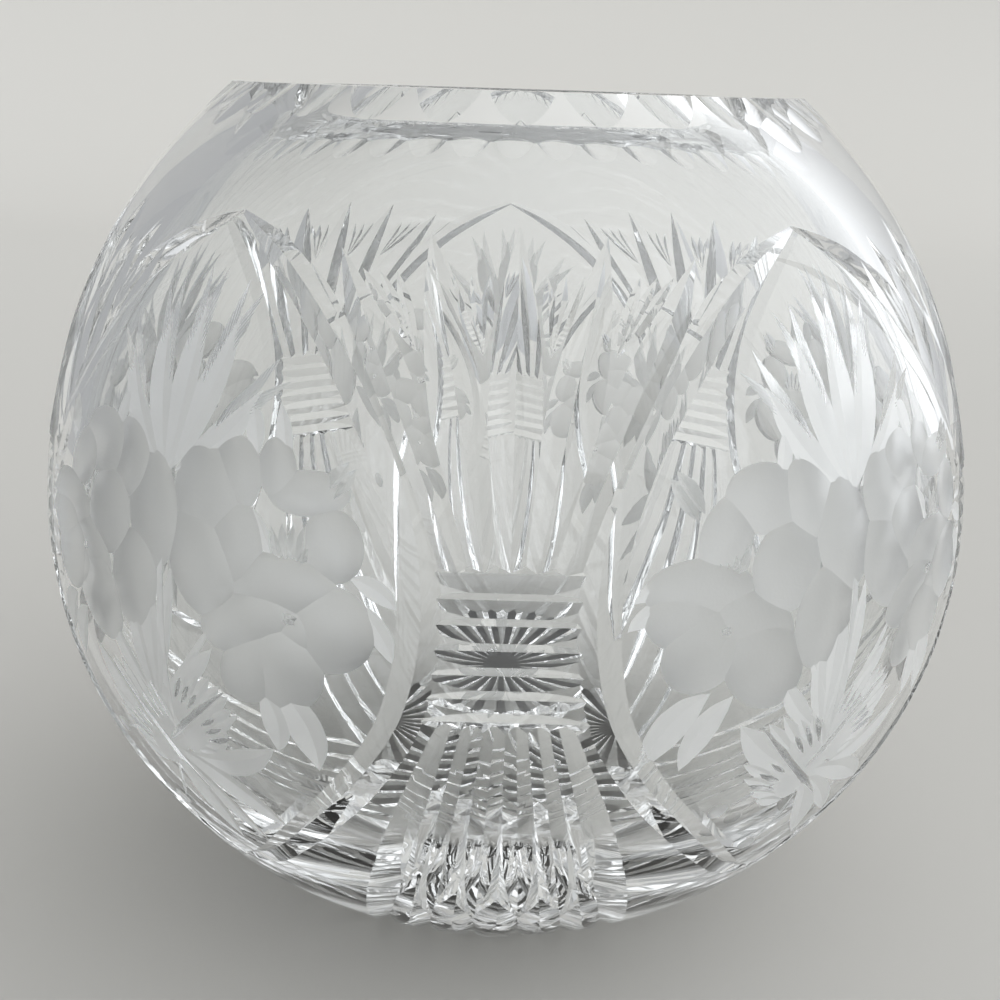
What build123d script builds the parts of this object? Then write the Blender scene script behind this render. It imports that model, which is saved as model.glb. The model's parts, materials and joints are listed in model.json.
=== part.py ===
"""A cut crystal rose bowl: one thick, clear, almost round vessel with a flat polished mouth.

The bowl stands on the middle of its foot: the origin is there, +Z is the axis, and one of the
five cut columns faces -Y. Every cut is made as a glass cutter makes it, with the V edge of a
wheel that follows the wall: the frames of five pointed panels, a fan of rays over a ladder of
steps in each column, rays that spread from the ladder to the notched foot, thumb flutes round
the mouth and a star under the foot.
"""
import os
from math import acos, atan2, cos, degrees, radians, sin, sqrt, tan

from build123d import *

# The blank, before it is cut
bowl_radius = 89.0
bowl_height = 161.0
widest_height = 82.5
shoulder_arc_radius = 102.0
belly_arc_radius = 84.0
foot_radius = 36.8
wall = 6.0
base_thickness = 14.0
mouth_inner_radius = 36.0
mouth_edge_round = 0.8

# The wheel: half the angle of its V edge, and how far its cuts stand out of the wall
edge_half_angle = 64
reach = 3.5

# The pattern repeats once for each column
columns = 5
column_angle = 360 / columns

# The curved cuts that frame the panels, from a waist beside the ladder to two apexes.
# The shares say how far a cut has risen, spread sideways and deepened at each station.
arch_depth = 1.6
arch_waist_height = 90.0
arch_waist_angle = 8.1
arch_top_height = 143.0
arch_low_height = 34.5
arch_apex_angle = column_angle / 2
arch_rise_shares = (0.0, 0.25, 0.46, 0.64, 0.8, 0.92, 1.0)
arch_up_spread_shares = (0.0, 0.03, 0.13, 0.29, 0.5, 0.74, 1.0)
arch_down_spread_shares = (0.0, 0.06, 0.21, 0.4, 0.6, 0.78, 1.0)
arch_depth_shares = (1.0, 1.0, 1.0, 0.95, 0.85, 0.65, 0.1)

# The ladder of level steps at the waist of each column
steps = 7
step_top_height = 98.9
step_pitch = 3.75
step_depth = 1.0

# The fan of five rays that rises from the ladder
ray_foot_spacing = 2.4
ray_tip_spacing = 10.2
ray_foot_depth = 0.9
ray_middle_depth = 1.9
ray_middle_height = 121.5
ray_bow_share = 0.44
ray_tip_heights = (143.4, 142.4, 139.6)

# The sprigs, three thin cuts that open out between the tips of two rays
sprig_foot_height = 127.0
sprig_tip_height = 137.2
sprig_foot_spacing = 6.6
sprig_tip_spacing = 2.0
sprig_depth = 0.5
sprig_reach = 0.6

# The rays that spread from the ladder to the foot, one to each notch of the foot
low_rays = 6
low_ray_top_height = 76.0
low_ray_top_spacing = 1.95
low_ray_middle_height = 31.0
low_ray_bow_share = 0.4
low_ray_top_depth = 0.9
low_ray_middle_depth = 2.2
low_ray_foot_depth = 2.4
notch_angle = column_angle / (low_rays - 1)

# The thumb flutes round the outer edge of the mouth
flutes = 30
flute_depth = 1.5
flute_drop = 4.7
flute_hollow_radius = 14.0

# The star under the foot, with a ray to each notch
star_rays = columns * (low_rays - 1)
star_depth = 1.5
star_centre_radius = 6.0

# The inside of the blank, worked out from the sizes above
inner_radius = bowl_radius - wall
inner_belly_arc_radius = widest_height - base_thickness
inner_rise = bowl_height - widest_height
inner_run = inner_radius - mouth_inner_radius
inner_shoulder_arc_radius = (inner_rise**2 + inner_run**2) / (2 * inner_run)

# The middles of the four arcs, as distances from the axis
shoulder_middle = bowl_radius - shoulder_arc_radius
belly_middle = bowl_radius - belly_arc_radius
inner_belly_middle = inner_radius - inner_belly_arc_radius
inner_shoulder_middle = inner_radius - inner_shoulder_arc_radius

# The straight side above the foot meets the belly arc square to this direction
foot_run = foot_radius - belly_middle
foot_distance = sqrt(foot_run**2 + widest_height**2)
foot_turn = acos(belly_arc_radius / foot_distance) - atan2(widest_height, foot_run)
side_radius = belly_middle + belly_arc_radius * cos(foot_turn)
side_height = widest_height + belly_arc_radius * sin(foot_turn)


def outline(height):
    """The blank's radius at a height, and how far its wall's normal tilts up there."""
    if height < side_height:
        return foot_radius + (side_radius - foot_radius) * height / side_height, foot_turn
    middle, arc = belly_middle, belly_arc_radius
    if height > widest_height:
        middle, arc = shoulder_middle, shoulder_arc_radius
    rise = height - widest_height
    tilt = atan2(rise, sqrt(arc**2 - rise**2))
    return middle + arc * cos(tilt), tilt


def out_of_wall(angle, height):
    """The direction straight out of the blank's wall."""
    tilt = outline(height)[1]
    turn = radians(angle)
    return Vector(cos(tilt) * sin(turn), -cos(tilt) * cos(turn), sin(tilt))


def on_wall(angle, height, depth=0.0):
    """A point of the blank's wall, or one below it by a depth. Angle 0 faces -Y."""
    radius = outline(height)[0]
    turn = radians(angle)
    surface = Vector(radius * sin(turn), -radius * cos(turn), height)
    return surface - out_of_wall(angle, height) * depth


def edge_section(place, open_way, along, stand_out=reach):
    """The V of the wheel's edge: its point is at a place, and it opens away from the glass."""
    half_width = stand_out * tan(radians(edge_half_angle))
    with BuildSketch(Plane(origin=place, x_dir=open_way, z_dir=along)) as section:
        with BuildLine():
            Polyline((0, 0), (stand_out, half_width), (stand_out, -half_width), close=True)
        make_face()
    return section.sketch


def straight_cut(start, end, open_way, stand_out=reach):
    """A V cut with a straight bottom."""
    section = edge_section(start, open_way, end - start, stand_out)
    with BuildPart() as cut:
        extrude(section, amount=(end - start).length)
    return cut.part


def round_cut(start, middle, end, open_way, past_end=0.0, stand_out=reach):
    """A V cut square to the wall, whose bottom follows the arc through three points."""
    across = (end - start).cross(open_way).normalized()
    middle -= across * across.dot(middle - start)
    to_middle, to_end = middle - start, end - start
    axis = to_middle.cross(to_end)
    off_middle = axis.cross(to_middle) * to_end.length**2 - axis.cross(to_end) * to_middle.length**2
    centre = start + off_middle / (2 * axis.length**2)
    axis = axis.normalized()
    spoke, end_spoke = start - centre, end - centre
    turn = atan2(axis.dot(spoke.cross(end_spoke)), spoke.dot(end_spoke))
    turn += past_end / spoke.length
    if spoke.dot(open_way) < 0:
        spoke = -spoke
    section = edge_section(start, spoke, axis.cross(spoke), stand_out)
    with BuildPart() as cut:
        revolve(section, axis=Axis(centre, axis), revolution_arc=degrees(turn))
    return cut.part


def arch_cut(side):
    """One side of a panel's frame, from its lower apex past the waist to its upper apex."""
    stations = []
    down = list(zip(arch_rise_shares, arch_down_spread_shares, arch_depth_shares))
    up = list(zip(arch_rise_shares, arch_up_spread_shares, arch_depth_shares))
    for far_height, shares in ((arch_low_height, down[:0:-1]), (arch_top_height, up)):
        for rise, spread, depth in shares:
            height = arch_waist_height + (far_height - arch_waist_height) * rise
            angle = side * (arch_waist_angle + (arch_apex_angle - arch_waist_angle) * spread)
            place = on_wall(angle, height, arch_depth * depth)
            stations.append((place, out_of_wall(angle, height)))
    sections = []
    last = len(stations) - 1
    for number, (place, open_way) in enumerate(stations):
        along = stations[min(number + 1, last)][0] - stations[max(number - 1, 0)][0]
        along = along.normalized()
        square = open_way - along * open_way.dot(along)
        sections.append(edge_section(place, square, along))
    with BuildPart() as cut:
        loft(sections)
    return cut.part


def step_cut(number):
    """A level cut across the waist, counted down from the top of the ladder."""
    middle = on_wall(0, step_top_height - step_pitch * number, step_depth)
    half_length = Vector(sqrt(2 * bowl_radius * step_depth), 0, 0)
    return straight_cut(middle - half_length, middle + half_length, Vector(0, -1, 0))


def ray_cut(number):
    """One ray of the upper fan, counted both ways from its middle."""
    foot_angle = ray_foot_spacing * number
    tip_angle = ray_tip_spacing * number
    middle_angle = foot_angle + (tip_angle - foot_angle) * ray_bow_share
    return round_cut(
        on_wall(foot_angle, step_top_height, ray_foot_depth),
        on_wall(middle_angle, ray_middle_height, ray_middle_depth),
        on_wall(tip_angle, ray_tip_heights[abs(number)]),
        out_of_wall(middle_angle, ray_middle_height),
        reach,
    )


def sprig_cut(gap, number):
    """One thin cut over the gap between two rays, both counted from their middles."""
    foot_angle = gap * sprig_foot_spacing
    tip_angle = gap * ray_tip_spacing + number * sprig_tip_spacing
    middle_angle = (foot_angle + tip_angle) / 2
    middle_height = (sprig_foot_height + sprig_tip_height) / 2
    return round_cut(
        on_wall(foot_angle, sprig_foot_height),
        on_wall(middle_angle, middle_height, sprig_depth),
        on_wall(tip_angle, sprig_tip_height),
        out_of_wall(middle_angle, middle_height),
        stand_out=sprig_reach,
    )


def low_ray_cut(number):
    """One ray of the lower fan, counted in halves from its middle."""
    top_angle = low_ray_top_spacing * number
    foot_angle = notch_angle * number
    middle_angle = top_angle + (foot_angle - top_angle) * low_ray_bow_share
    return round_cut(
        on_wall(top_angle, low_ray_top_height, low_ray_top_depth),
        on_wall(middle_angle, low_ray_middle_height, low_ray_middle_depth),
        on_wall(foot_angle, 0, low_ray_foot_depth),
        out_of_wall(middle_angle, low_ray_middle_height),
        reach,
    )


def flute_cut():
    """A hollow of a round wheel across the outer edge of the mouth."""
    tilt = outline(bowl_height)[1]
    low_end = on_wall(0, bowl_height - flute_drop)
    high_end = on_wall(0, bowl_height) + Vector(0, flute_depth / sin(tilt), 0)
    along = (low_end - high_end).normalized()
    start = high_end - along * reach + along.cross(Vector(1, 0, 0)) * flute_hollow_radius
    with BuildPart() as cut:
        with BuildSketch(Plane(origin=start, z_dir=along)):
            Circle(flute_hollow_radius)
        extrude(amount=(low_end - high_end).length + 2 * reach)
    return cut.part


def star_cut():
    """One ray of the star under the foot."""
    start = Vector(0, -star_centre_radius, 0)
    end = Vector(0, -foot_radius - reach, star_depth)
    return straight_cut(start, end, Vector(0, 0, -1))


counted = range(-(len(ray_tip_heights) - 1), len(ray_tip_heights))
gaps = [number - 0.5 for number in counted] + [len(ray_tip_heights) - 0.5]
column_cuts = [
    [arch_cut(side) for side in (-1, 1)],
    [step_cut(number) for number in range(steps)],
    [ray_cut(number) for number in counted],
    [low_ray_cut(number - (low_rays - 1) / 2) for number in range(low_rays)],
    [sprig_cut(gap, number) for gap in gaps for number in (-1, 0, 1)],
]

with BuildPart() as bowl:
    with BuildSketch(Plane.XZ) as section:
        with BuildLine():
            mouth_angle = degrees(outline(bowl_height)[1])
            inner_angle = degrees(atan2(inner_rise, mouth_inner_radius - inner_shoulder_middle))
            Polyline((0, base_thickness), (0, 0), (foot_radius, 0), (side_radius, side_height))
            foot_angle = degrees(foot_turn)
            CenterArc((belly_middle, widest_height), belly_arc_radius, foot_angle, -foot_angle)
            CenterArc((shoulder_middle, widest_height), shoulder_arc_radius, 0, mouth_angle)
            Line((outline(bowl_height)[0], bowl_height), (mouth_inner_radius, bowl_height))
            CenterArc(
                (inner_shoulder_middle, widest_height), inner_shoulder_arc_radius, 0, inner_angle
            )
            CenterArc((inner_belly_middle, widest_height), inner_belly_arc_radius, -90, 90)
            Line((inner_belly_middle, base_thickness), (0, base_thickness))
        make_face()
        mouth_corners = section.vertices().group_by(Axis.Y)[-1]
        fillet(mouth_corners.sort_by(Axis.X)[0], radius=mouth_edge_round)
    revolve(axis=Axis.Z)
    for cuts in column_cuts:
        for cut in cuts:
            with PolarLocations(0, columns):
                add(cut, mode=Mode.SUBTRACT)
    with PolarLocations(0, flutes):
        add(flute_cut(), mode=Mode.SUBTRACT)
    with PolarLocations(0, star_rays, start_angle=notch_angle / 2):
        add(star_cut(), mode=Mode.SUBTRACT)
bowl.part.label = "bowl"

os.makedirs("parts", exist_ok=True)
export_step(bowl.part, "parts/bowl.step")

box = bowl.part.bounding_box()
print(f"bowl: {len(bowl.part.faces())} faces, {bowl.part.volume / 1000:.0f} ml of glass")
print(f"size: {box.size.X:.2f} x {box.size.Y:.2f} x {box.size.Z:.2f}")
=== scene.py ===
# %% [markdown]
# # A cut crystal rose bowl
# The bowl is one piece of thick glass. It is made here the way a glass cutter works: a plain
# blank first, then the edge of a wheel takes every cut out of it, and last the parts that stay
# ground are left matt while the rest is polished.
#
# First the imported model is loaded. It gives the frame that every piece has to sit in.

import json
import math

import bmesh
import bpy
from mathutils import Matrix, Vector

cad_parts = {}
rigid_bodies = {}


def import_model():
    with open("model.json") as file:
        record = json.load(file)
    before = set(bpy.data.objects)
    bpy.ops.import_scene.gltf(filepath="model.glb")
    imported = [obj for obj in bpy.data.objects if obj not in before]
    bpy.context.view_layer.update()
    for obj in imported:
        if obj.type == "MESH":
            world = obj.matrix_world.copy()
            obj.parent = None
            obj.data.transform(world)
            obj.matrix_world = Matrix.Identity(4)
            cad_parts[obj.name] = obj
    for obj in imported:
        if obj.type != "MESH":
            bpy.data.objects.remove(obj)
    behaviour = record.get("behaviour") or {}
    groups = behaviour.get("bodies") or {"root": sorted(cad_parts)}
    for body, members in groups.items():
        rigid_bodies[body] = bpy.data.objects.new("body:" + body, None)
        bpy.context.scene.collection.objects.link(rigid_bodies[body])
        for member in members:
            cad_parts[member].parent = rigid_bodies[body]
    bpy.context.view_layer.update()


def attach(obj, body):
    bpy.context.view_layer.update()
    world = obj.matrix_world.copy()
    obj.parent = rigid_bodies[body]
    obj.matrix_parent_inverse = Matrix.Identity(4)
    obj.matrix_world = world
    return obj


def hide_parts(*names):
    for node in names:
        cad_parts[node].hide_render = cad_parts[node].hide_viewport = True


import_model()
MM = 0.001

# %% [markdown]
# ## Sizes
# All sizes are in millimetres and angles in degrees. An angle goes round the bowl from the middle
# of the front column, and a height goes up from under the foot. The wall is two arcs with a short
# straight side above the foot.

# %% Sizes of the blank
BOWL_RADIUS, BOWL_HEIGHT, WIDEST = 89.0, 161.0, 82.5
SHOULDER_ARC, BELLY_ARC = 102.0, 84.0
FOOT_RADIUS, WALL, BASE = 36.8, 6.0, 14.0
MOUTH_RADIUS, MOUTH_ROUND = 36.0, 0.8
COLUMNS = 5
TURN_STEPS = 200

inner_radius = BOWL_RADIUS - WALL
inner_belly_arc = WIDEST - BASE
inner_rise = BOWL_HEIGHT - WIDEST
inner_run = inner_radius - MOUTH_RADIUS
inner_shoulder_arc = (inner_rise**2 + inner_run**2) / (2 * inner_run)
shoulder_middle = BOWL_RADIUS - SHOULDER_ARC
belly_middle = BOWL_RADIUS - BELLY_ARC
inner_belly_middle = inner_radius - inner_belly_arc
inner_shoulder_middle = inner_radius - inner_shoulder_arc
foot_run = FOOT_RADIUS - belly_middle
foot_turn = math.acos(BELLY_ARC / math.hypot(foot_run, WIDEST)) - math.atan2(WIDEST, foot_run)
side_radius = belly_middle + BELLY_ARC * math.cos(foot_turn)
side_height = WIDEST + BELLY_ARC * math.sin(foot_turn)


def outline(height):
    """Radius of the blank at a height, and how far its wall's normal tilts up there."""
    if height < side_height:
        return FOOT_RADIUS + (side_radius - FOOT_RADIUS) * height / side_height, foot_turn
    middle, arc = (shoulder_middle, SHOULDER_ARC) if height > WIDEST else (belly_middle, BELLY_ARC)
    tilt = math.asin((height - WIDEST) / arc)
    return middle + arc * math.cos(tilt), tilt


def out_of_wall(angle, height):
    """The direction straight out of the wall."""
    tilt, turn = outline(height)[1], math.radians(angle)
    return Vector((math.cos(tilt) * math.sin(turn), -math.cos(tilt) * math.cos(turn), math.sin(tilt)))


def on_wall(angle, height, depth=0.0):
    """A point of the wall, or one below it by a depth."""
    radius, turn = outline(height)[0], math.radians(angle)
    place = Vector((radius * math.sin(turn), -radius * math.cos(turn), height))
    return place - out_of_wall(angle, height) * depth


# %% [markdown]
# ## The blank
# The half section is a closed line from the foot up the outside, over the mouth and down the
# inside. `spin` turns it round the axis, like a lathe.

# %% Turn the blank
CRYSTAL, GROUND, LEAF, FINE = 0, 1, 2, 3
OUTER_WALL, INNER_WALL, CUT = 1, 2, 3
SAME_RADIUS = 0.5  # a face this near the outline's radius lies on the outer wall


def arc_points(middle, height, radius, start, end, steps):
    """Points along an arc, by angle, without its first point."""
    turns = [start + (end - start) * step / steps for step in range(1, steps + 1)]
    return [(middle + radius * math.cos(t), height + radius * math.sin(t)) for t in turns]


mouth_tilt = outline(BOWL_HEIGHT)[1]
inner_tilt = math.atan2(inner_rise, MOUTH_RADIUS - inner_shoulder_middle)
outer_line = [(FOOT_RADIUS, 0)]
outer_line += [(outline(side_height * step / 8)[0], side_height * step / 8) for step in range(1, 9)]
outer_line += arc_points(belly_middle, WIDEST, BELLY_ARC, foot_turn, 0, 26)
outer_line += arc_points(shoulder_middle, WIDEST, SHOULDER_ARC, 0, mouth_tilt, 28)
inner_line = [(MOUTH_RADIUS + MOUTH_ROUND, BOWL_HEIGHT)]
inner_line += arc_points(MOUTH_RADIUS + MOUTH_ROUND, BOWL_HEIGHT - MOUTH_ROUND, MOUTH_ROUND,
                         math.pi / 2, math.pi, 4)
inner_line += arc_points(inner_shoulder_middle, WIDEST, inner_shoulder_arc,
                         inner_tilt - 0.01, 0, 26)
inner_line += arc_points(inner_belly_middle, WIDEST, inner_belly_arc, 0, -math.pi / 2, 30)

bm = bmesh.new()
line = [(0, 0)] + outer_line + inner_line + [(0, BASE)]
points = [bm.verts.new((0, -radius, height)) for radius, height in line]
edges = [bm.edges.new(pair) for pair in zip(points, points[1:])]
bmesh.ops.spin(bm, geom=points + edges, cent=(0, 0, 0), axis=(0, 0, 1), angle=math.tau,
               steps=TURN_STEPS, use_merge=True)
bmesh.ops.remove_doubles(bm, verts=bm.verts, dist=0.0001)
bmesh.ops.recalc_face_normals(bm, faces=bm.faces)
kind = bm.faces.layers.int.new("kind")
for face in bm.faces:
    place, out = face.calc_center_median(), face.normal
    slope = Vector((place.x, place.y, 0)).dot(out)
    if abs(out.z) < 0.999 and place.z < BOWL_HEIGHT - MOUTH_ROUND:
        outside = slope > 0 and abs(place.xy.length - outline(place.z)[0]) < SAME_RADIUS
        face[kind] = OUTER_WALL if outside else INNER_WALL
print("blank:", len(bm.faces), "faces")
blank = bpy.data.meshes.new("bowl_glass")
bm.to_mesh(blank)
bm.free()

# %% [markdown]
# ## The wheel
# Every cut is the V of a wheel's edge, moved along the wall. `section` lays that V down as a
# triangle with its point in the glass. A round cut turns it about the centre of the arc that the
# cut's bottom follows, a straight cut pushes it along, and a followed cut bridges many of them.

# %% The wheel's edge
EDGE_HALF_ANGLE = 64
cutters = bpy.data.collections.new("cutters")


def only(kind, geometry):
    """The vertices, or the edges, of what an operator gives back."""
    return [item for item in geometry if isinstance(item, kind)]


def section(bm, place, open_way, along, half_angle, stand_out):
    """A triangle with its point at a place, open away from the glass."""
    open_way = (open_way - along * open_way.dot(along)).normalized()
    side = along.cross(open_way) * stand_out * math.tan(math.radians(half_angle))
    corners = [place, place + open_way * stand_out + side, place + open_way * stand_out - side]
    return [bm.verts.new(corner) for corner in corners]


def cutter(name, make, material=CRYSTAL, copies=COLUMNS, first=0.0):
    """A closed tool: its mesh is made once, copied round the bowl and kept for the cutting."""
    bm = bmesh.new()
    make(bm)
    bmesh.ops.recalc_face_normals(bm, faces=bm.faces)
    bmesh.ops.rotate(bm, verts=bm.verts, cent=(0, 0, 0), matrix=Matrix.Rotation(math.radians(first), 3, "Z"))
    whole = bm.verts[:] + bm.edges[:] + bm.faces[:]
    bmesh.ops.spin(bm, geom=whole, cent=(0, 0, 0), axis=(0, 0, 1), use_duplicate=True,
                   angle=math.tau * (copies - 1) / copies, steps=copies - 1)
    kind = bm.faces.layers.int.new("kind")
    for face in bm.faces:
        face[kind] = CUT
        face.material_index = material
    mesh = bpy.data.meshes.new(name)
    bm.to_mesh(mesh)
    bm.free()
    cutters.objects.link(bpy.data.objects.new(name, mesh))


def round_cut(start, middle, end, open_way, past_end=0.0, stand_out=3.5,
              half_angle=EDGE_HALF_ANGLE, steps=16):
    """A V cut square to the wall, whose bottom follows the arc through three points."""
    across = (end - start).cross(open_way).normalized()
    middle = middle - across * across.dot(middle - start)
    to_middle, to_end = middle - start, end - start
    axis = to_middle.cross(to_end)
    off = axis.cross(to_middle) * to_end.length_squared - axis.cross(to_end) * to_middle.length_squared
    centre = start + off / (2 * axis.length_squared)
    axis.normalize()
    spoke, end_spoke = start - centre, end - centre
    turn = math.atan2(axis.dot(spoke.cross(end_spoke)), spoke.dot(end_spoke)) + past_end / spoke.length
    if spoke.dot(open_way) < 0:
        spoke = -spoke

    def make(bm):
        along = axis.cross(spoke).normalized()
        face = bm.faces.new(section(bm, start, spoke.normalized(), along, half_angle, stand_out))
        bmesh.ops.spin(bm, geom=[face] + face.verts[:] + face.edges[:], cent=centre, axis=axis,
                       angle=turn, steps=steps)
    return make


def straight_cut(start, end, open_way, stand_out=3.5):
    """A V cut with a straight bottom."""
    def make(bm):
        along = (end - start).normalized()
        face = bm.faces.new(section(bm, start, open_way, along, EDGE_HALF_ANGLE, stand_out))
        grown = bmesh.ops.extrude_face_region(bm, geom=[face])["geom"]
        bmesh.ops.translate(bm, verts=only(bmesh.types.BMVert, grown), vec=end - start)
    return make


def smooth(values, place):
    """A table of values read between its rows, on a smooth line through them."""
    last = len(values) - 1
    row = min(int(place * last), last - 1)
    t = place * last - row
    a, b, c, d = (values[min(max(row + k, 0), last)] for k in (-1, 0, 1, 2))
    return b + 0.5 * t * (c - a + t * (2 * a - 5 * b + 4 * c - d + t * (3 * (b - c) + d - a)))


def followed_cut(path, depths, half_angle=EDGE_HALF_ANGLE, stand_out=3.5, steps=24):
    """A V cut along a path of (angle, height) rows, with a table of depths."""
    def make(bm):
        rows = []
        for step in range(steps + 1):
            share = step / steps
            angle, height = (smooth([row[k] for row in path], share) for k in (0, 1))
            rows.append((on_wall(angle, height, smooth(depths, share)), out_of_wall(angle, height)))
        loops = []
        for number, (place, open_way) in enumerate(rows):
            along = rows[min(number + 1, steps)][0] - rows[max(number - 1, 0)][0]
            loops.append(section(bm, place, open_way, along.normalized(), half_angle, stand_out))
        for near, far in zip(loops, loops[1:]):
            rings = [[bm.edges.get(pair) or bm.edges.new(pair) for pair in zip(ring, ring[1:] + ring[:1])]
                     for ring in (near, far)]
            bmesh.ops.bridge_loops(bm, edges=rings[0] + rings[1])
        bm.faces.new(loops[0])
        bm.faces.new(loops[-1])
    return make

# %% [markdown]
# ## The polished cuts
# Frames of the panels, ladders, fans, flutes and star are the same cuts, at the same sizes, as in
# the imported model. A row of cuts overlaps above the glass, so each cut of a row is a tool of its
# own, and only its copies in the other four columns share its mesh.

# %% Frames of the panels
WAIST_ANGLE, WAIST_HEIGHT, APEX_ANGLE = 8.1, 90.0, 180 / COLUMNS
FRAME_FOOT, FRAME_TOP, FRAME_DEPTH = 34.5, 143.0, 1.6
RISE = (0.0, 0.25, 0.46, 0.64, 0.8, 0.92, 1.0)
SPREAD_UP = (0.0, 0.03, 0.13, 0.29, 0.5, 0.74, 1.0)
SPREAD_DOWN = (0.0, 0.06, 0.21, 0.4, 0.6, 0.78, 1.0)
DEEP = (1.0, 1.0, 1.0, 0.95, 0.85, 0.65, 0.1)

for side in (-1, 1):
    path, depths = [], []
    for far, spreads, order in ((FRAME_FOOT, SPREAD_DOWN, -1), (FRAME_TOP, SPREAD_UP, 1)):
        rows = list(zip(RISE, spreads, DEEP))[::order]
        for rise, spread, deep in rows[:-1] if order < 0 else rows:
            angle = side * (WAIST_ANGLE + (APEX_ANGLE - WAIST_ANGLE) * spread)
            path.append((angle, WAIST_HEIGHT + (far - WAIST_HEIGHT) * rise))
            depths.append(FRAME_DEPTH * deep)
    cutter(f"frame_{side}", followed_cut(path, depths, steps=96))

# %% Ladder and fans
STEPS, STEP_TOP, STEP_PITCH, STEP_DEPTH = 7, 98.9, 3.75, 1.0
for number in range(STEPS):
    middle = on_wall(0, STEP_TOP - STEP_PITCH * number, STEP_DEPTH)
    half = Vector((math.sqrt(2 * BOWL_RADIUS * STEP_DEPTH), 0, 0))
    cutter(f"step_{number}", straight_cut(middle - half, middle + half, Vector((0, -1, 0))))

RAY_TIPS, RAY_MIDDLE = (143.4, 142.4, 139.6), 121.5
RAY_FOOT_PITCH, RAY_TIP_PITCH = 2.4, 10.2
PAST_TIP = 3.5  # a ray's tool runs on by this much, out of the glass
for number in range(-2, 3):
    foot, tip = RAY_FOOT_PITCH * number, RAY_TIP_PITCH * number
    between = foot + (tip - foot) * 0.44
    cutter(f"ray_{number}",
           round_cut(on_wall(foot, STEP_TOP, 0.9), on_wall(between, RAY_MIDDLE, 1.9),
                     on_wall(tip, RAY_TIPS[abs(number)]), out_of_wall(between, RAY_MIDDLE), PAST_TIP))

LOW_RAYS, LOW_RAY_TOP, LOW_RAY_MIDDLE = 6, 76.0, 31.0
LOW_TOP_PITCH, NOTCH_PITCH = 1.95, 14.4
for number in range(LOW_RAYS):
    place = number - (LOW_RAYS - 1) / 2
    top, foot = LOW_TOP_PITCH * place, NOTCH_PITCH * place
    between = top + (foot - top) * 0.4
    cutter(f"low_ray_{number}",
           round_cut(on_wall(top, LOW_RAY_TOP, 0.9), on_wall(between, LOW_RAY_MIDDLE, 2.2),
                     on_wall(foot, 0, 2.4), out_of_wall(between, LOW_RAY_MIDDLE), PAST_TIP))

# %% Sprigs between the tips of the rays
SPRIG_PITCH, SPRIG_SPREAD = 6.6, 2.0
SPRIG_FOOT, SPRIG_MIDDLE, SPRIG_TIP = 127.0, 132.1, 137.2
for gap in range(-3, 3):
    for number in (-1, 0, 1):
        foot, tip = SPRIG_PITCH * (gap + 0.5), RAY_TIP_PITCH * (gap + 0.5) + SPRIG_SPREAD * number
        between = (foot + tip) / 2
        cutter(f"sprig_{gap}_{number}",
               round_cut(on_wall(foot, SPRIG_FOOT), on_wall(between, SPRIG_MIDDLE, 0.5),
                         on_wall(tip, SPRIG_TIP), out_of_wall(between, SPRIG_MIDDLE),
                         stand_out=0.6, steps=8))

# %% [markdown]
# The thumb flutes round the mouth are hollows of a round wheel, so their tool is a cylinder that
# lies across the edge. The star is straight cuts under the foot.

# %% Flutes and star
FLUTES, FLUTE_DEPTH, FLUTE_DROP, FLUTE_HOLLOW = 30, 1.5, 4.7, 14.0
low_end = on_wall(0, BOWL_HEIGHT - FLUTE_DROP)
high_end = on_wall(0, BOWL_HEIGHT) + Vector((0, FLUTE_DEPTH / math.sin(mouth_tilt), 0))
along = (low_end - high_end).normalized()
middle = (low_end + high_end) / 2 + along.cross(Vector((1, 0, 0))) * FLUTE_HOLLOW
lie = Matrix.Translation(middle) @ along.to_track_quat("Z", "Y").to_matrix().to_4x4()


def flute(bm):
    bmesh.ops.create_cone(bm, cap_ends=True, segments=96, radius1=FLUTE_HOLLOW, radius2=FLUTE_HOLLOW,
                          depth=(low_end - high_end).length + 7, matrix=lie)


for third in range(3):
    cutter(f"flute_{third}", flute, copies=FLUTES // 3, first=third * 360 / FLUTES)

STAR_EYE, STAR_PAST_EDGE, STAR_DEPTH, STAR_STAND_OUT = 6, 3.5, 1.5, 1.9
star_ray = straight_cut(Vector((0, -STAR_EYE, 0)), Vector((0, -FOOT_RADIUS - STAR_PAST_EDGE, STAR_DEPTH)),
                        Vector((0, 0, -1)), STAR_STAND_OUT)
for number in range(5):
    cutter(f"star_{number}", star_ray, first=NOTCH_PITCH * (number + 0.5))

# %% [markdown]
# ## The ground flowers
# In each panel a wheel of coarse stone cut flowers, leaves and grasses, and they were left matt. A
# petal is a shallow dish: the tool is a flat egg shape that dips into the wall, and where two
# dishes meet a thin bright ridge stands between them. A leaf is a very open V that starts and
# ends at the surface, which gives it its pointed ends and its faint middle line.

# %% Tools for petals and leaves
PANEL = 180 / COLUMNS
PER_DEGREE = BOWL_RADIUS * math.pi / 180
DISH_THICK, FULLEST = 3.0, 0.97  # half the egg shape's thickness, and the share that may stand out
CLEAR, LEAF_STAND_OUT = 0.02, 0.25  # a leaf's ends and its tool's back stand out of the wall
LEAF_FORM = ((0, 0), (0.25, 0.75), (0.5, 1), (0.75, 0.75), (1, 0))  # share of the way, swell there


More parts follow.
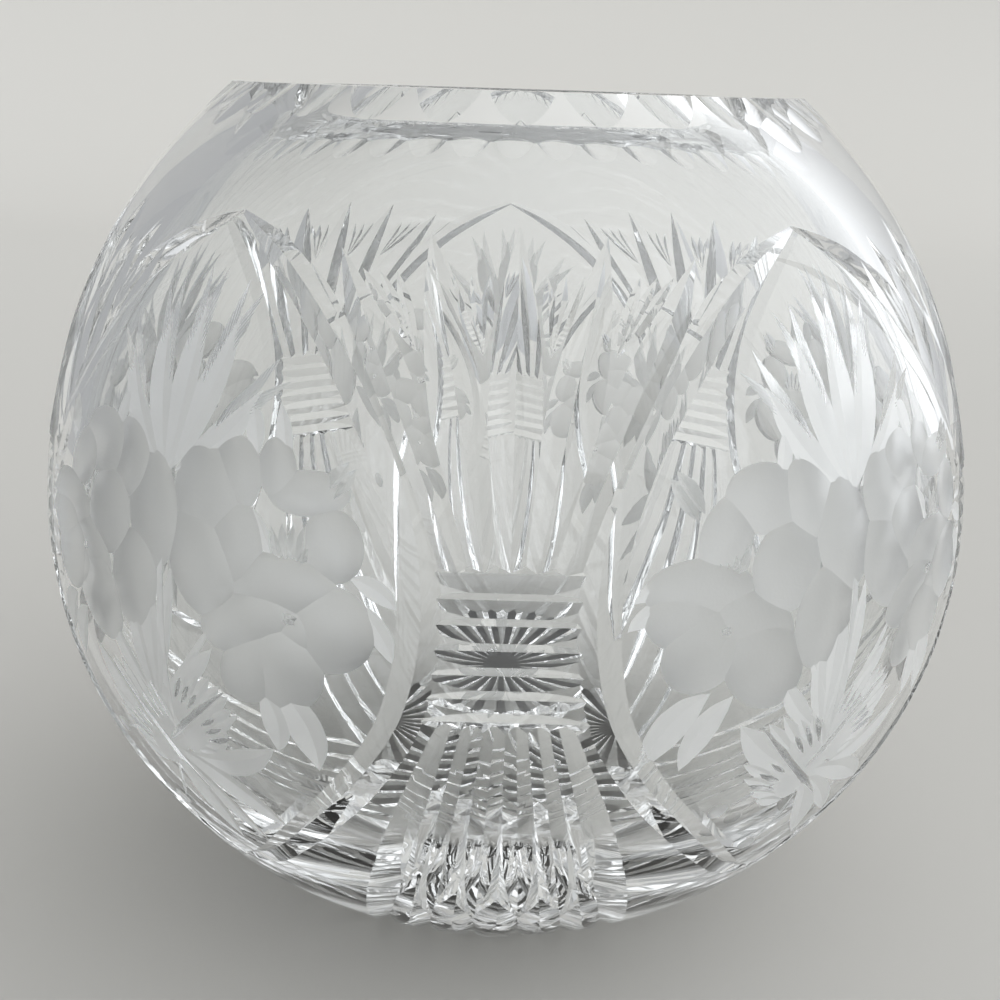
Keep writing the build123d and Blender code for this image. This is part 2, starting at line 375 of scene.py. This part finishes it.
def petal(name, angle, height, length, width, turn, depth, lean=(0.0, 0.0), material=GROUND):
    """A dish of a length and a width on the wall, turned from level, deeper to one side."""
    out, place = out_of_wall(angle, height), on_wall(angle, height, depth)
    level = Vector((0, 0, 1)).cross(out).normalized()
    up = out.cross(level)
    along = level * math.cos(math.radians(turn)) + up * math.sin(math.radians(turn))
    side = out.cross(along)
    sizes = []
    for half in (length / 2, width / 2):
        rise = min(DISH_THICK - depth + half**2 / (2 * BOWL_RADIUS), DISH_THICK * FULLEST)
        sizes.append(half / math.sqrt(1 - (rise / DISH_THICK)**2))
    tipped = (out + along * math.radians(lean[0]) + side * math.radians(lean[1])).normalized()
    across = tipped.cross(along).normalized()
    frame3 = Matrix((across.cross(tipped), across, tipped)).transposed().to_4x4()
    grown = Matrix.Diagonal((*sizes, DISH_THICK, 1))
    matrix = Matrix.Translation(place + tipped * DISH_THICK) @ frame3 @ grown

    def make(bm):
        bmesh.ops.create_uvsphere(bm, u_segments=44, v_segments=22, radius=1, matrix=matrix)
    cutter(name, make, material)


def leaf(name, start, end, width, bow=0.0, half_angle=80, steps=14, material=LEAF, below=0.0):
    """An open V from point to point of the wall, bowed sideways, and deeper by the dish it crosses."""
    run = Vector(((end[0] - start[0]) * PER_DEGREE, end[1] - start[1]))
    bend = Vector((-run.y, run.x)).normalized() * bow
    deep = below + width / 2 / math.tan(math.radians(half_angle))
    path, depths = [], []
    for share, swell in LEAF_FORM:
        path.append((start[0] + (end[0] - start[0]) * share + bend.x * swell / PER_DEGREE,
                     start[1] + (end[1] - start[1]) * share + bend.y * swell))
        depths.append(deep * swell if swell else -CLEAR)
    cutter(name, followed_cut(path, depths, half_angle, deep + LEAF_STAND_OUT, steps), material)


# %% Two flowers on each side of the stalk
PETALS = {  # step from the panel's middle and height, then length, width and turn of the dish
    1: [(4.8, 103.9, 14.0, 12.6, 104), (9.5, 108.0, 11.0, 9.8, 102), (12.9, 109.6, 8.6, 6.2, 100),
        (16.0, 106.7, 12.4, 6.4, 6), (4.8, 93.0, 16.2, 12.4, 112), (10.2, 98.7, 14.0, 10.0, 108),
        (19.0, 100.0, 10.4, 9.2, 100), (13.3, 92.5, 17.4, 9.6, 3), (19.0, 90.4, 13.4, 13.0, 3),
        (10.4, 85.7, 18.0, 9.4, 20), (10.9, 81.3, 16.4, 10.2, 45), (16.1, 82.0, 13.4, 13.6, 120),
        (15.4, 87.6, 10.0, 8.0, 30)],
    -1: [(-10.8, 106.4, 13.2, 10.2, 170), (-4.9, 106.8, 12.0, 9.4, 116), (-16.5, 102.9, 12.0, 8.4, 62),
         (-7.8, 96.9, 13.0, 12.4, 95), (-2.3, 98.8, 16.8, 11.2, 99), (-3.2, 87.3, 15.4, 11.4, 84),
         (-17.3, 94.6, 16.4, 9.4, 177), (-17.4, 84.9, 13.6, 12.0, 42), (-11.5, 81.5, 17.0, 12.8, 127),
         (-11.6, 90.6, 14.6, 9.6, 160), (-19.2, 90.6, 12.4, 9.6, 172), (-14.6, 87.4, 10.0, 8.4, 150)],
}
PETAL_LEANS = ((3.0, -6.0), (3.0, 7.0))  # degrees along and across, by turns
LEAST_DEPTH, DEPTH_SHARE = 0.3, 0.065  # a wider petal goes deeper
for side, rows in PETALS.items():
    for number, (step, height, length, width, turn) in enumerate(rows):
        petal(f"petal_{side}_{number}", PANEL + step, height, length, width, turn,
              LEAST_DEPTH + DEPTH_SHARE * width, PETAL_LEANS[number % 2])

# %% [markdown]
# Leaves stand round the flowers, and grasses grow up and down from the foot of the stalk. Both
# halves of a panel were cut by eye, so each half has a table of its own. A row gives the two ends
# as steps from the panel's middle and heights, then a width and a bow to one side.

# %% Leaves
LEAVES = [
    ((21.2, 96.9), (26.1, 92.7), 3.4, 0.8), ((21.8, 93.8), (25.9, 84.5), 3.6, 0.7),
    ((12.0, 77.8), (13.5, 66.6), 5.2, 1.4), ((13.4, 79.0), (17.9, 64.8), 7.0, 1.8),
    ((0.5, 60.0), (13.3, 67.5), 5.8, -2.2), ((12.6, 119.5), (14.3, 108.4), 3.0, 0.4),
    ((9.1, 119.4), (11.0, 111.0), 3.4, 0.3), ((11.0, 104.8), (13.9, 96.6), 2.2, 0.2),
    ((-25.0, 94.5), (-19.1, 98.4), 3.4, 0.7), ((-25.5, 90.5), (-20.2, 94.6), 3.4, 0.7),
    ((-22.8, 68.0), (-16.6, 80.3), 6.4, 1.6), ((-19.0, 66.7), (-14.1, 79.3), 5.2, 1.2),
    ((-9.6, 105.5), (-10.8, 100.0), 2.2, 0.2), ((-7.5, 103.1), (-11.6, 95.3), 2.8, 0.3),
    ((-8.2, 117.6), (-9.7, 108.4), 3.0, 0.3), ((-6.8, 116.6), (-7.5, 108.4), 2.0, 0.2),
    ((-5.9, 83.2), (-1.8, 73.2), 3.0, 0.5),
]
for number, ((a, h), (b, g), width, bow) in enumerate(LEAVES):
    leaf(f"leaf_{number}", (PANEL + a, h), (PANEL + b, g), width, bow)

# %% Fronds, grasses and the stalk
FRONDS = [((0.0, 104.0), (0.2, 132.0), 5.6, 0.0), ((0.3, 106.5), (5.6, 130.0), 5.8, -0.8),
          ((0.7, 106.7), (10.5, 120.5), 5.2, -1.2), ((-0.3, 106.5), (-5.2, 129.0), 5.6, 0.8),
          ((-0.8, 106.5), (-10.2, 123.0), 5.2, 1.2)]
GRASSES = [((-1.8, 69.0), (-1.4, 92.7), 4.6, 0.4), ((-1.8, 69.0), (1.7, 93.9), 3.6, -0.4),
           ((-2.1, 69.0), (-4.3, 85.0), 4.2, 0.6), ((-2.5, 69.0), (-9.0, 81.4), 4.0, 1.0),
           ((-1.1, 70.0), (7.9, 88.3), 1.4, -0.6), ((-0.7, 71.0), (7.0, 82.3), 3.6, -0.6),
           ((-3.1, 60.5), (-13.1, 73.9), 6.4, 1.0), ((-2.3, 62.0), (-1.8, 70.6), 2.6, 0.0),
           ((-2.3, 60.2), (3.6, 41.8), 6.0, 0.8), ((-1.9, 60.5), (12.6, 49.9), 5.8, 1.4),
           ((-2.4, 60.0), (8.4, 44.4), 4.4, 0.8), ((3.0, 62.0), (9.6, 72.0), 2.4, 0.4)]
AWNS_FROM, AWNS_SPAN = 0.42, 0.52  # shares of the frond's length
AWN_ANGLE, AWN_LENGTH, AWN_WIDTH = math.radians(17), 7.5, 0.7
for name, rows, comb in (("frond", FRONDS, 9), ("grass", GRASSES, 0)):
    for number, (start, end, width, bow) in enumerate(rows):
        leaf(f"{name}_{number}", (PANEL + start[0], start[1]), (PANEL + end[0], end[1]), width, bow)
        for tooth in range(comb):
            share = AWNS_FROM + AWNS_SPAN * tooth / comb
            for side in (-1, 1):
                foot = [start[k] + (end[k] - start[k]) * share for k in (0, 1)]
                run = Vector(((end[0] - start[0]) * PER_DEGREE, end[1] - start[1])).normalized()
                spread = Matrix.Rotation(side * AWN_ANGLE, 2) @ run * AWN_LENGTH
                tip = (PANEL + foot[0] + spread.x / PER_DEGREE, foot[1] + spread.y)
                leaf(f"awn_{number}_{tooth}_{side}", (PANEL + foot[0], foot[1]), tip,
                     AWN_WIDTH, 0, 60, 6, FINE)
leaf("stalk", (PANEL, 104.0), (PANEL - 0.6, 56.0), 1.8, 0.4, 60)

# %% [markdown]
# Two toothed leaves spread from the foot of the stalk. Each is one shallow dish with a fan of open
# cuts over its edge as teeth. Fine lines that go deeper than its floor are the rib and the veins.
# Thin lines make the stamens and the tendrils too, and a berry is a small round dish.

# %% Toothed leaves, stamens and berries
DISH_DEPTH, VEIN_BELOW, RIB_BELOW = 0.36, 0.42, 0.35
TOOTH_FROM, TOOTH_WIDTH = 0.62, 2.6
VEINS = (-19, -13, -7, 8, 14, 20)
TEETH = ((-27, 0.6), (-22, 0.69), (-17, 0.8), (-12, 0.88), (-7, 0.96), (-2, 1.0), (3, 1.0), (8, 0.98),
         (13, 0.93), (18, 0.85), (23, 0.74), (28, 0.64))


def toothed_leaf(name, foot, turn, reach):
    """A leaf from its foot, turned from level, with teeth at angles and shares of its reach."""
    def spot(angle, far):
        way = math.radians(turn + angle)
        return foot[0] + far * math.cos(way) / PER_DEGREE, foot[1] + far * math.sin(way)

    petal(f"{name}_dish", *spot(0, 0.52 * reach), 0.84 * reach, 0.8 * reach, turn,
          DISH_DEPTH, material=LEAF)
    for number, (angle, share) in enumerate(TEETH):
        far = share * reach
        leaf(f"{name}_tooth_{number}", spot(angle, TOOTH_FROM * far), spot(angle, far),
             TOOTH_WIDTH, 0, 74, 6)
    for number, angle in enumerate(VEINS):
        leaf(f"{name}_vein_{number}", spot(angle, 0.5 * reach), spot(angle * 1.02, 0.78 * reach),
             0.5, 0, 50, 4, FINE, VEIN_BELOW)
    leaf(f"{name}_rib", spot(0, -0.02 * reach), spot(0, reach * 1.02), 1.2, 0.5, 52, 12, FINE, RIB_BELOW)


toothed_leaf("right_leaf", (PANEL - 3.1, 59.1), 43, 23.6)
toothed_leaf("left_leaf", (PANEL + 3.1, 51.8), 135, 29.0)

LINES = {  # ends, width and bow of the thin lines on each side
    "stamen": [((15.0, 96.0), (13.2, 102.6), 0.8, 0.3), ((15.2, 96.0), (14.4, 103.2), 0.8, 0.2),
               ((15.4, 96.2), (15.6, 103.4), 0.8, 0), ((15.6, 96.2), (16.8, 103.4), 0.9, -0.2),
               ((15.8, 96.2), (17.4, 101.0), 0.8, -0.2)],
    "feeler": [((17.9, 106.4), (20.7, 112.6), 1.6, 0.2), ((18.5, 105.4), (21.4, 111.7), 1.6, 0.2)],
    "heart": [((14.2, 90.6), (16.4, 87.6), 0.9, 0), ((14.0, 88.4), (16.6, 89.8), 0.9, 0)],
}
for side in (-1, 1):
    for name, rows in LINES.items():
        for number, ((a, h), (b, g), width, bow) in enumerate(rows):
            leaf(f"{name}_{side}_{number}", (PANEL + side * a, h), (PANEL + side * b, g), width, side * bow,
                 62, 5, FINE, 0.9 if name == "heart" else 0.3)

BERRIES = ((-12.9, 57.0, 20), (-5.9, 45.6, -20))  # step, height and turn
for number, (angle, height, turn) in enumerate(BERRIES):
    petal(f"berry_{number}", PANEL + angle, height, 3.8, 3.2, turn, 0.45)
    leaf(f"tendril_{number}", (PANEL - 2.0, 58.0), (PANEL + angle + 0.6, height),
         0.9, -2.0 + 3.0 * number, 62, 12, FINE)

# %% [markdown]
# ## The cut
# One Boolean modifier takes all the tools out of the blank. Its result becomes the bowl's mesh,
# and the tools are thrown away. Every face remembers whether it is wall or cut, so the wall gets
# the exact normal of the form, and a long thin face between two cuts doesn't spoil its gloss.

# %% Cut the bowl
crystal = bpy.data.materials.new("polished_lead_crystal")
ground = bpy.data.materials.new("stone_ground_crystal")
matt = bpy.data.materials.new("finely_ground_crystal")
fine = bpy.data.materials.new("fine_wheel_lines")
for mesh in [blank] + [tool.data for tool in cutters.objects]:
    for material in (crystal, ground, matt, fine):
        mesh.materials.append(material)
body = bpy.data.objects.new("bowl_blank", blank)
bpy.context.collection.objects.link(body)
cut = body.modifiers.new("wheel", "BOOLEAN")
cut.operation, cut.solver = "DIFFERENCE", "MANIFOLD"
cut.operand_type, cut.collection = "COLLECTION", cutters
cut_mesh = bpy.data.meshes.new_from_object(body.evaluated_get(bpy.context.evaluated_depsgraph_get()))
bpy.data.objects.remove(body)
for tool in list(cutters.objects):
    bpy.data.objects.remove(tool)
bpy.data.collections.remove(cutters)

bm = bmesh.new()
bm.from_mesh(cut_mesh)
print("open edges:", sum(not edge.is_manifold for edge in bm.edges),
      " triangles:", sum(len(face.verts) - 2 for face in bm.faces))
for edge in bm.edges:
    edge.smooth = len(edge.link_faces) == 2 and edge.calc_face_angle(0) < math.radians(9)
for face in bm.faces:
    face.smooth = True
bm.to_mesh(cut_mesh)
bm.free()

# %% Exact normals for the wall
def wall_normal(kind, place):
    """The direction of the polished wall at a place, outside or inside."""
    radius, height = place.xy.length, place.z
    if kind == OUTER_WALL:
        flat, up = math.cos(outline(height)[1]), math.sin(outline(height)[1])
    else:
        middle, arc = (inner_shoulder_middle, inner_shoulder_arc) if height > WIDEST else (
            inner_belly_middle, inner_belly_arc)
        flat, up = (middle - radius) / arc, (WIDEST - height) / arc
    return Vector((place.x * flat / radius, place.y * flat / radius, up)).normalized()


kinds = [item.value for item in cut_mesh.attributes["kind"].data]
normals = []
for face in cut_mesh.polygons:
    kind = kinds[face.index]
    for loop in face.loop_indices:
        place = cut_mesh.vertices[cut_mesh.loops[loop].vertex_index].co
        normals.append(wall_normal(kind, place) if kind in (OUTER_WALL, INNER_WALL) else Vector())
cut_mesh.transform(Matrix.Scale(MM, 4))
cut_mesh.normals_split_custom_set(normals)
bowl = bpy.data.objects.new("cut_crystal_bowl", cut_mesh)
bpy.context.collection.objects.link(bowl)
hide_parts("bowl")
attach(bowl, "root")

# %% [markdown]
# ## The glass
# Polished lead crystal bends light more than window glass: its index is about 1.54 to 1.56. It is
# almost without colour. The ground parts are the same glass with a matt skin left by the stone,
# which scatters the light that passes and looks pale grey. So there is one recipe for all four
# finishes: a Principled shader that lets light through, rougher and less clear the coarser the
# stone was, with a fine grain in its roughness and its relief.

# %% Materials
def linear(hex_colour):
    """An sRGB hex colour as linear numbers."""
    parts = [int(hex_colour[k:k + 2], 16) / 255 for k in (1, 3, 5)]
    return tuple(c / 12.92 if c <= 0.04045 else ((c + 0.055) / 1.055) ** 2.4 for c in parts) + (1.0,)


def add(material, kind, settings=(), links=()):
    """Add a node with its settings, and link outputs of other nodes to its inputs."""
    node = material.node_tree.nodes.new(kind)
    for name, value in dict(settings).items():
        if name in node.inputs:
            node.inputs[name].default_value = value
        else:
            setattr(node, name, value)
    for name, output in dict(links).items():
        material.node_tree.links.new(output, node.inputs[name])
    return node


LEAD_CRYSTAL_INDEX = 1.55


def glass(material, colour, clear, roughness, grain_mm, grain_height_mm, uneven):
    """Clear or ground glass, with the fine unevenness that its surface was left with."""
    material.use_nodes = True
    material.node_tree.nodes.clear()
    where = add(material, "ShaderNodeTexCoord")
    grain = add(material, "ShaderNodeTexNoise", {"Scale": 1 / (grain_mm * MM), "Detail": 3.0},
                {"Vector": where.outputs["Object"]})
    ends = {"To Min": roughness - uneven, "To Max": roughness + uneven}
    spread = add(material, "ShaderNodeMapRange", ends, {"Value": grain.outputs["Fac"]})
    bump = add(material, "ShaderNodeBump", {"Strength": 1.0, "Distance": grain_height_mm * MM},
               {"Height": grain.outputs["Fac"]})
    shader = add(material, "ShaderNodeBsdfPrincipled",
                 {"Base Color": linear(colour), "IOR": LEAD_CRYSTAL_INDEX, "Transmission Weight": clear},
                 {"Roughness": spread.outputs["Result"], "Normal": bump.outputs["Normal"]})
    add(material, "ShaderNodeOutputMaterial", (), {"Surface": shader.outputs["BSDF"]})


# polished lead crystal: clear and colourless, a hard gloss with a faint slow waviness
glass(crystal, "#FDFEFE", 1.0, 0.012, 22.0, 0.02, 0.008)
# petals ground with a coarse stone: matt and grey, what is behind shows as a soft glow. The marks
# of the grit are about 0.1 mm wide and are drawn five times as coarse, so that they show
glass(ground, "#E6E7E6", 0.8, 0.4, 0.5, 0.02, 0.06)
# leaves ground with a finer stone: whiter than the petals, less shows through
glass(matt, "#F2F3F2", 0.5, 0.5, 0.5, 0.02, 0.06)
# single lines of a thin wheel: half bright, so that they glint between the matt parts
glass(fine, "#F4F6F6", 0.9, 0.25, 0.4, 0.01, 0.05)
print("finishes:", [material.name for material in cut_mesh.materials])

# %% [markdown]
# ## Stage, light and camera
# The floor is one sheet of pale paper that lies under the bowl and sweeps up behind it, so that no
# edge shows through the glass. Clear glass has no look of its own: it shows what stands round it,
# bent and mirrored. So a painted light falloff is laid on the paper: painted shade in front of and
# under the bowl, and a paler painted light with the distance, the height and a little to the left.
# The slopes of a cut, which look to different places, then come out in different greys. An edge
# of two points is pulled into the floor, spun up in a quarter turn and pulled up once more.

# %% Floor and backdrop
# painted light on the paper: the darker tone is painted shade near the bowl, the paler one painted light far
# back and up
PAINTED_SHADE_TONE, PAINTED_LIGHT_TONE = "#BDBBB6", "#D6D4CF"
PAINTED_LIGHT_WAY = (-0.2, 0.5, 0.4)
HALF_WIDTH, NEAR_EDGE, BEND_START, BEND_RADIUS, BACK_RISE = 0.8, -0.6, 1.1, 0.5, 1.6

paper = bpy.data.materials.new("paper_with_painted_falloff")
paper.use_nodes = True
where = add(paper, "ShaderNodeTexCoord")
along_painted_light = add(paper, "ShaderNodeVectorMath", {"operation": "DOT_PRODUCT"}, {0: where.outputs["Object"]})
along_painted_light.inputs[1].default_value = PAINTED_LIGHT_WAY
# the mix of the two tones is the painted light falloff: paler far back, high up and to the left
painted_falloff = add(paper, "ShaderNodeMix", {"data_type": "RGBA"}, {0: along_painted_light.outputs["Value"]})
painted_falloff.inputs[6].default_value, painted_falloff.inputs[7].default_value = linear(PAINTED_SHADE_TONE), linear(PAINTED_LIGHT_TONE)
shader = paper.node_tree.nodes["Principled BSDF"]
shader.inputs["Roughness"].default_value = 0.9
paper.node_tree.links.new(painted_falloff.outputs[2], shader.inputs["Base Color"])

bm = bmesh.new()
start = [bm.verts.new((x, NEAR_EDGE, 0)) for x in (-HALF_WIDTH, HALF_WIDTH)]
pulled = bmesh.ops.extrude_edge_only(bm, edges=[bm.edges.new(start)])["geom"]
moved = only(bmesh.types.BMVert, pulled)
bmesh.ops.translate(bm, verts=moved, vec=(0, BEND_START - NEAR_EDGE, 0))
front = [edge for edge in only(bmesh.types.BMEdge, pulled) if all(v in moved for v in edge.verts)]
spun = bmesh.ops.spin(bm, geom=front + moved, cent=(0, BEND_START, BEND_RADIUS), axis=(1, 0, 0),
                      angle=math.pi / 2, steps=24)["geom_last"]
raised = bmesh.ops.extrude_edge_only(bm, edges=only(bmesh.types.BMEdge, spun))["geom"]
bmesh.ops.translate(bm, verts=only(bmesh.types.BMVert, raised), vec=(0, 0, BACK_RISE))
bmesh.ops.recalc_face_normals(bm, faces=bm.faces)
for face in bm.faces:
    face.smooth = True
floor_mesh = bpy.data.meshes.new("floor")
bm.to_mesh(floor_mesh)
bm.free()
floor_mesh.materials.append(paper)
floor = bpy.data.objects.new("floor", floor_mesh)
bpy.context.collection.objects.link(floor)
print("paper:", len(floor_mesh.polygons), "faces")

# %% [markdown]
# The light is a soft tent: a pale surround that is brightest high up, to the right and in front,
# and falls off without an edge. A lamp with an edge would stand as a white shape in the plain
# polished band below the mouth. Light that enters the wall of a bowl can run round in it for
# dozens of mirrorings before it leaves, so the number of bounces is raised; with few, such places
# turn black.

# %% Light
LIGHT_FROM = Vector((0.7, -0.3, 0.65)).normalized()
SHADE, GLOW = 0.45, 1.9
BOUNCES = 64

tent = bpy.data.worlds.new("soft_tent")
bpy.context.scene.world = tent
tent.use_nodes = True
where = add(tent, "ShaderNodeTexCoord")
toward = add(tent, "ShaderNodeVectorMath", {"operation": "DOT_PRODUCT"}, {0: where.outputs["Generated"]})
toward.inputs[1].default_value = LIGHT_FROM
fall_off = {"interpolation_type": "SMOOTHSTEP", "To Min": SHADE, "To Max": GLOW}
strength = add(tent, "ShaderNodeMapRange", fall_off, {"Value": toward.outputs["Value"]})
surround = tent.node_tree.nodes["Background"]
surround.inputs["Color"].default_value = linear("#F4F6F8")
tent.node_tree.links.new(strength.outputs["Result"], surround.inputs["Strength"])
bpy.context.scene.cycles.max_bounces = BOUNCES
bpy.context.scene.cycles.transmission_bounces = BOUNCES
bpy.context.scene.cycles.glossy_bounces = BOUNCES

# %% [markdown]
# The camera stands where the photograph was taken from: its distance, height and turn were fitted
# until the outline, the ladder and the tips of the rays fell on the same places.

# %% Camera, fitted to the outline in the photograph
DISTANCE, CAMERA_HEIGHT = 242.9, 162.1
FOCAL_PIXELS, PHOTO_PIXELS, SENSOR = 1235.0, 1000, 36.0
PITCH, ROLL, YAW, TURN = (math.radians(angle) for angle in (18.66, 1.82, -0.22, 0.77))
ahead = Vector((math.sin(YAW) * math.cos(PITCH), math.cos(YAW) * math.cos(PITCH), -math.sin(PITCH)))
right = Vector((math.cos(YAW), -math.sin(YAW), 0))
down = ahead.cross(right)
level_right, level_down = right, down
right = level_right * math.cos(ROLL) - level_down * math.sin(ROLL)
down = level_right * math.sin(ROLL) + level_down * math.cos(ROLL)
axes = Matrix((right, -down, -ahead)).transposed().to_4x4()
camera_data = bpy.data.cameras.new("camera")
camera_data.sensor_fit, camera_data.sensor_width = "HORIZONTAL", SENSOR
camera_data.lens, camera_data.clip_start = FOCAL_PIXELS / PHOTO_PIXELS * SENSOR, 0.01
camera = bpy.data.objects.new("camera", camera_data)
bpy.context.collection.objects.link(camera)
camera.matrix_world = (Matrix.Rotation(-TURN, 4, "Z")
                       @ Matrix.Translation((0, -DISTANCE * MM, CAMERA_HEIGHT * MM)) @ axes)
bpy.context.scene.camera = camera
bpy.context.scene.view_settings.view_transform = "Standard"
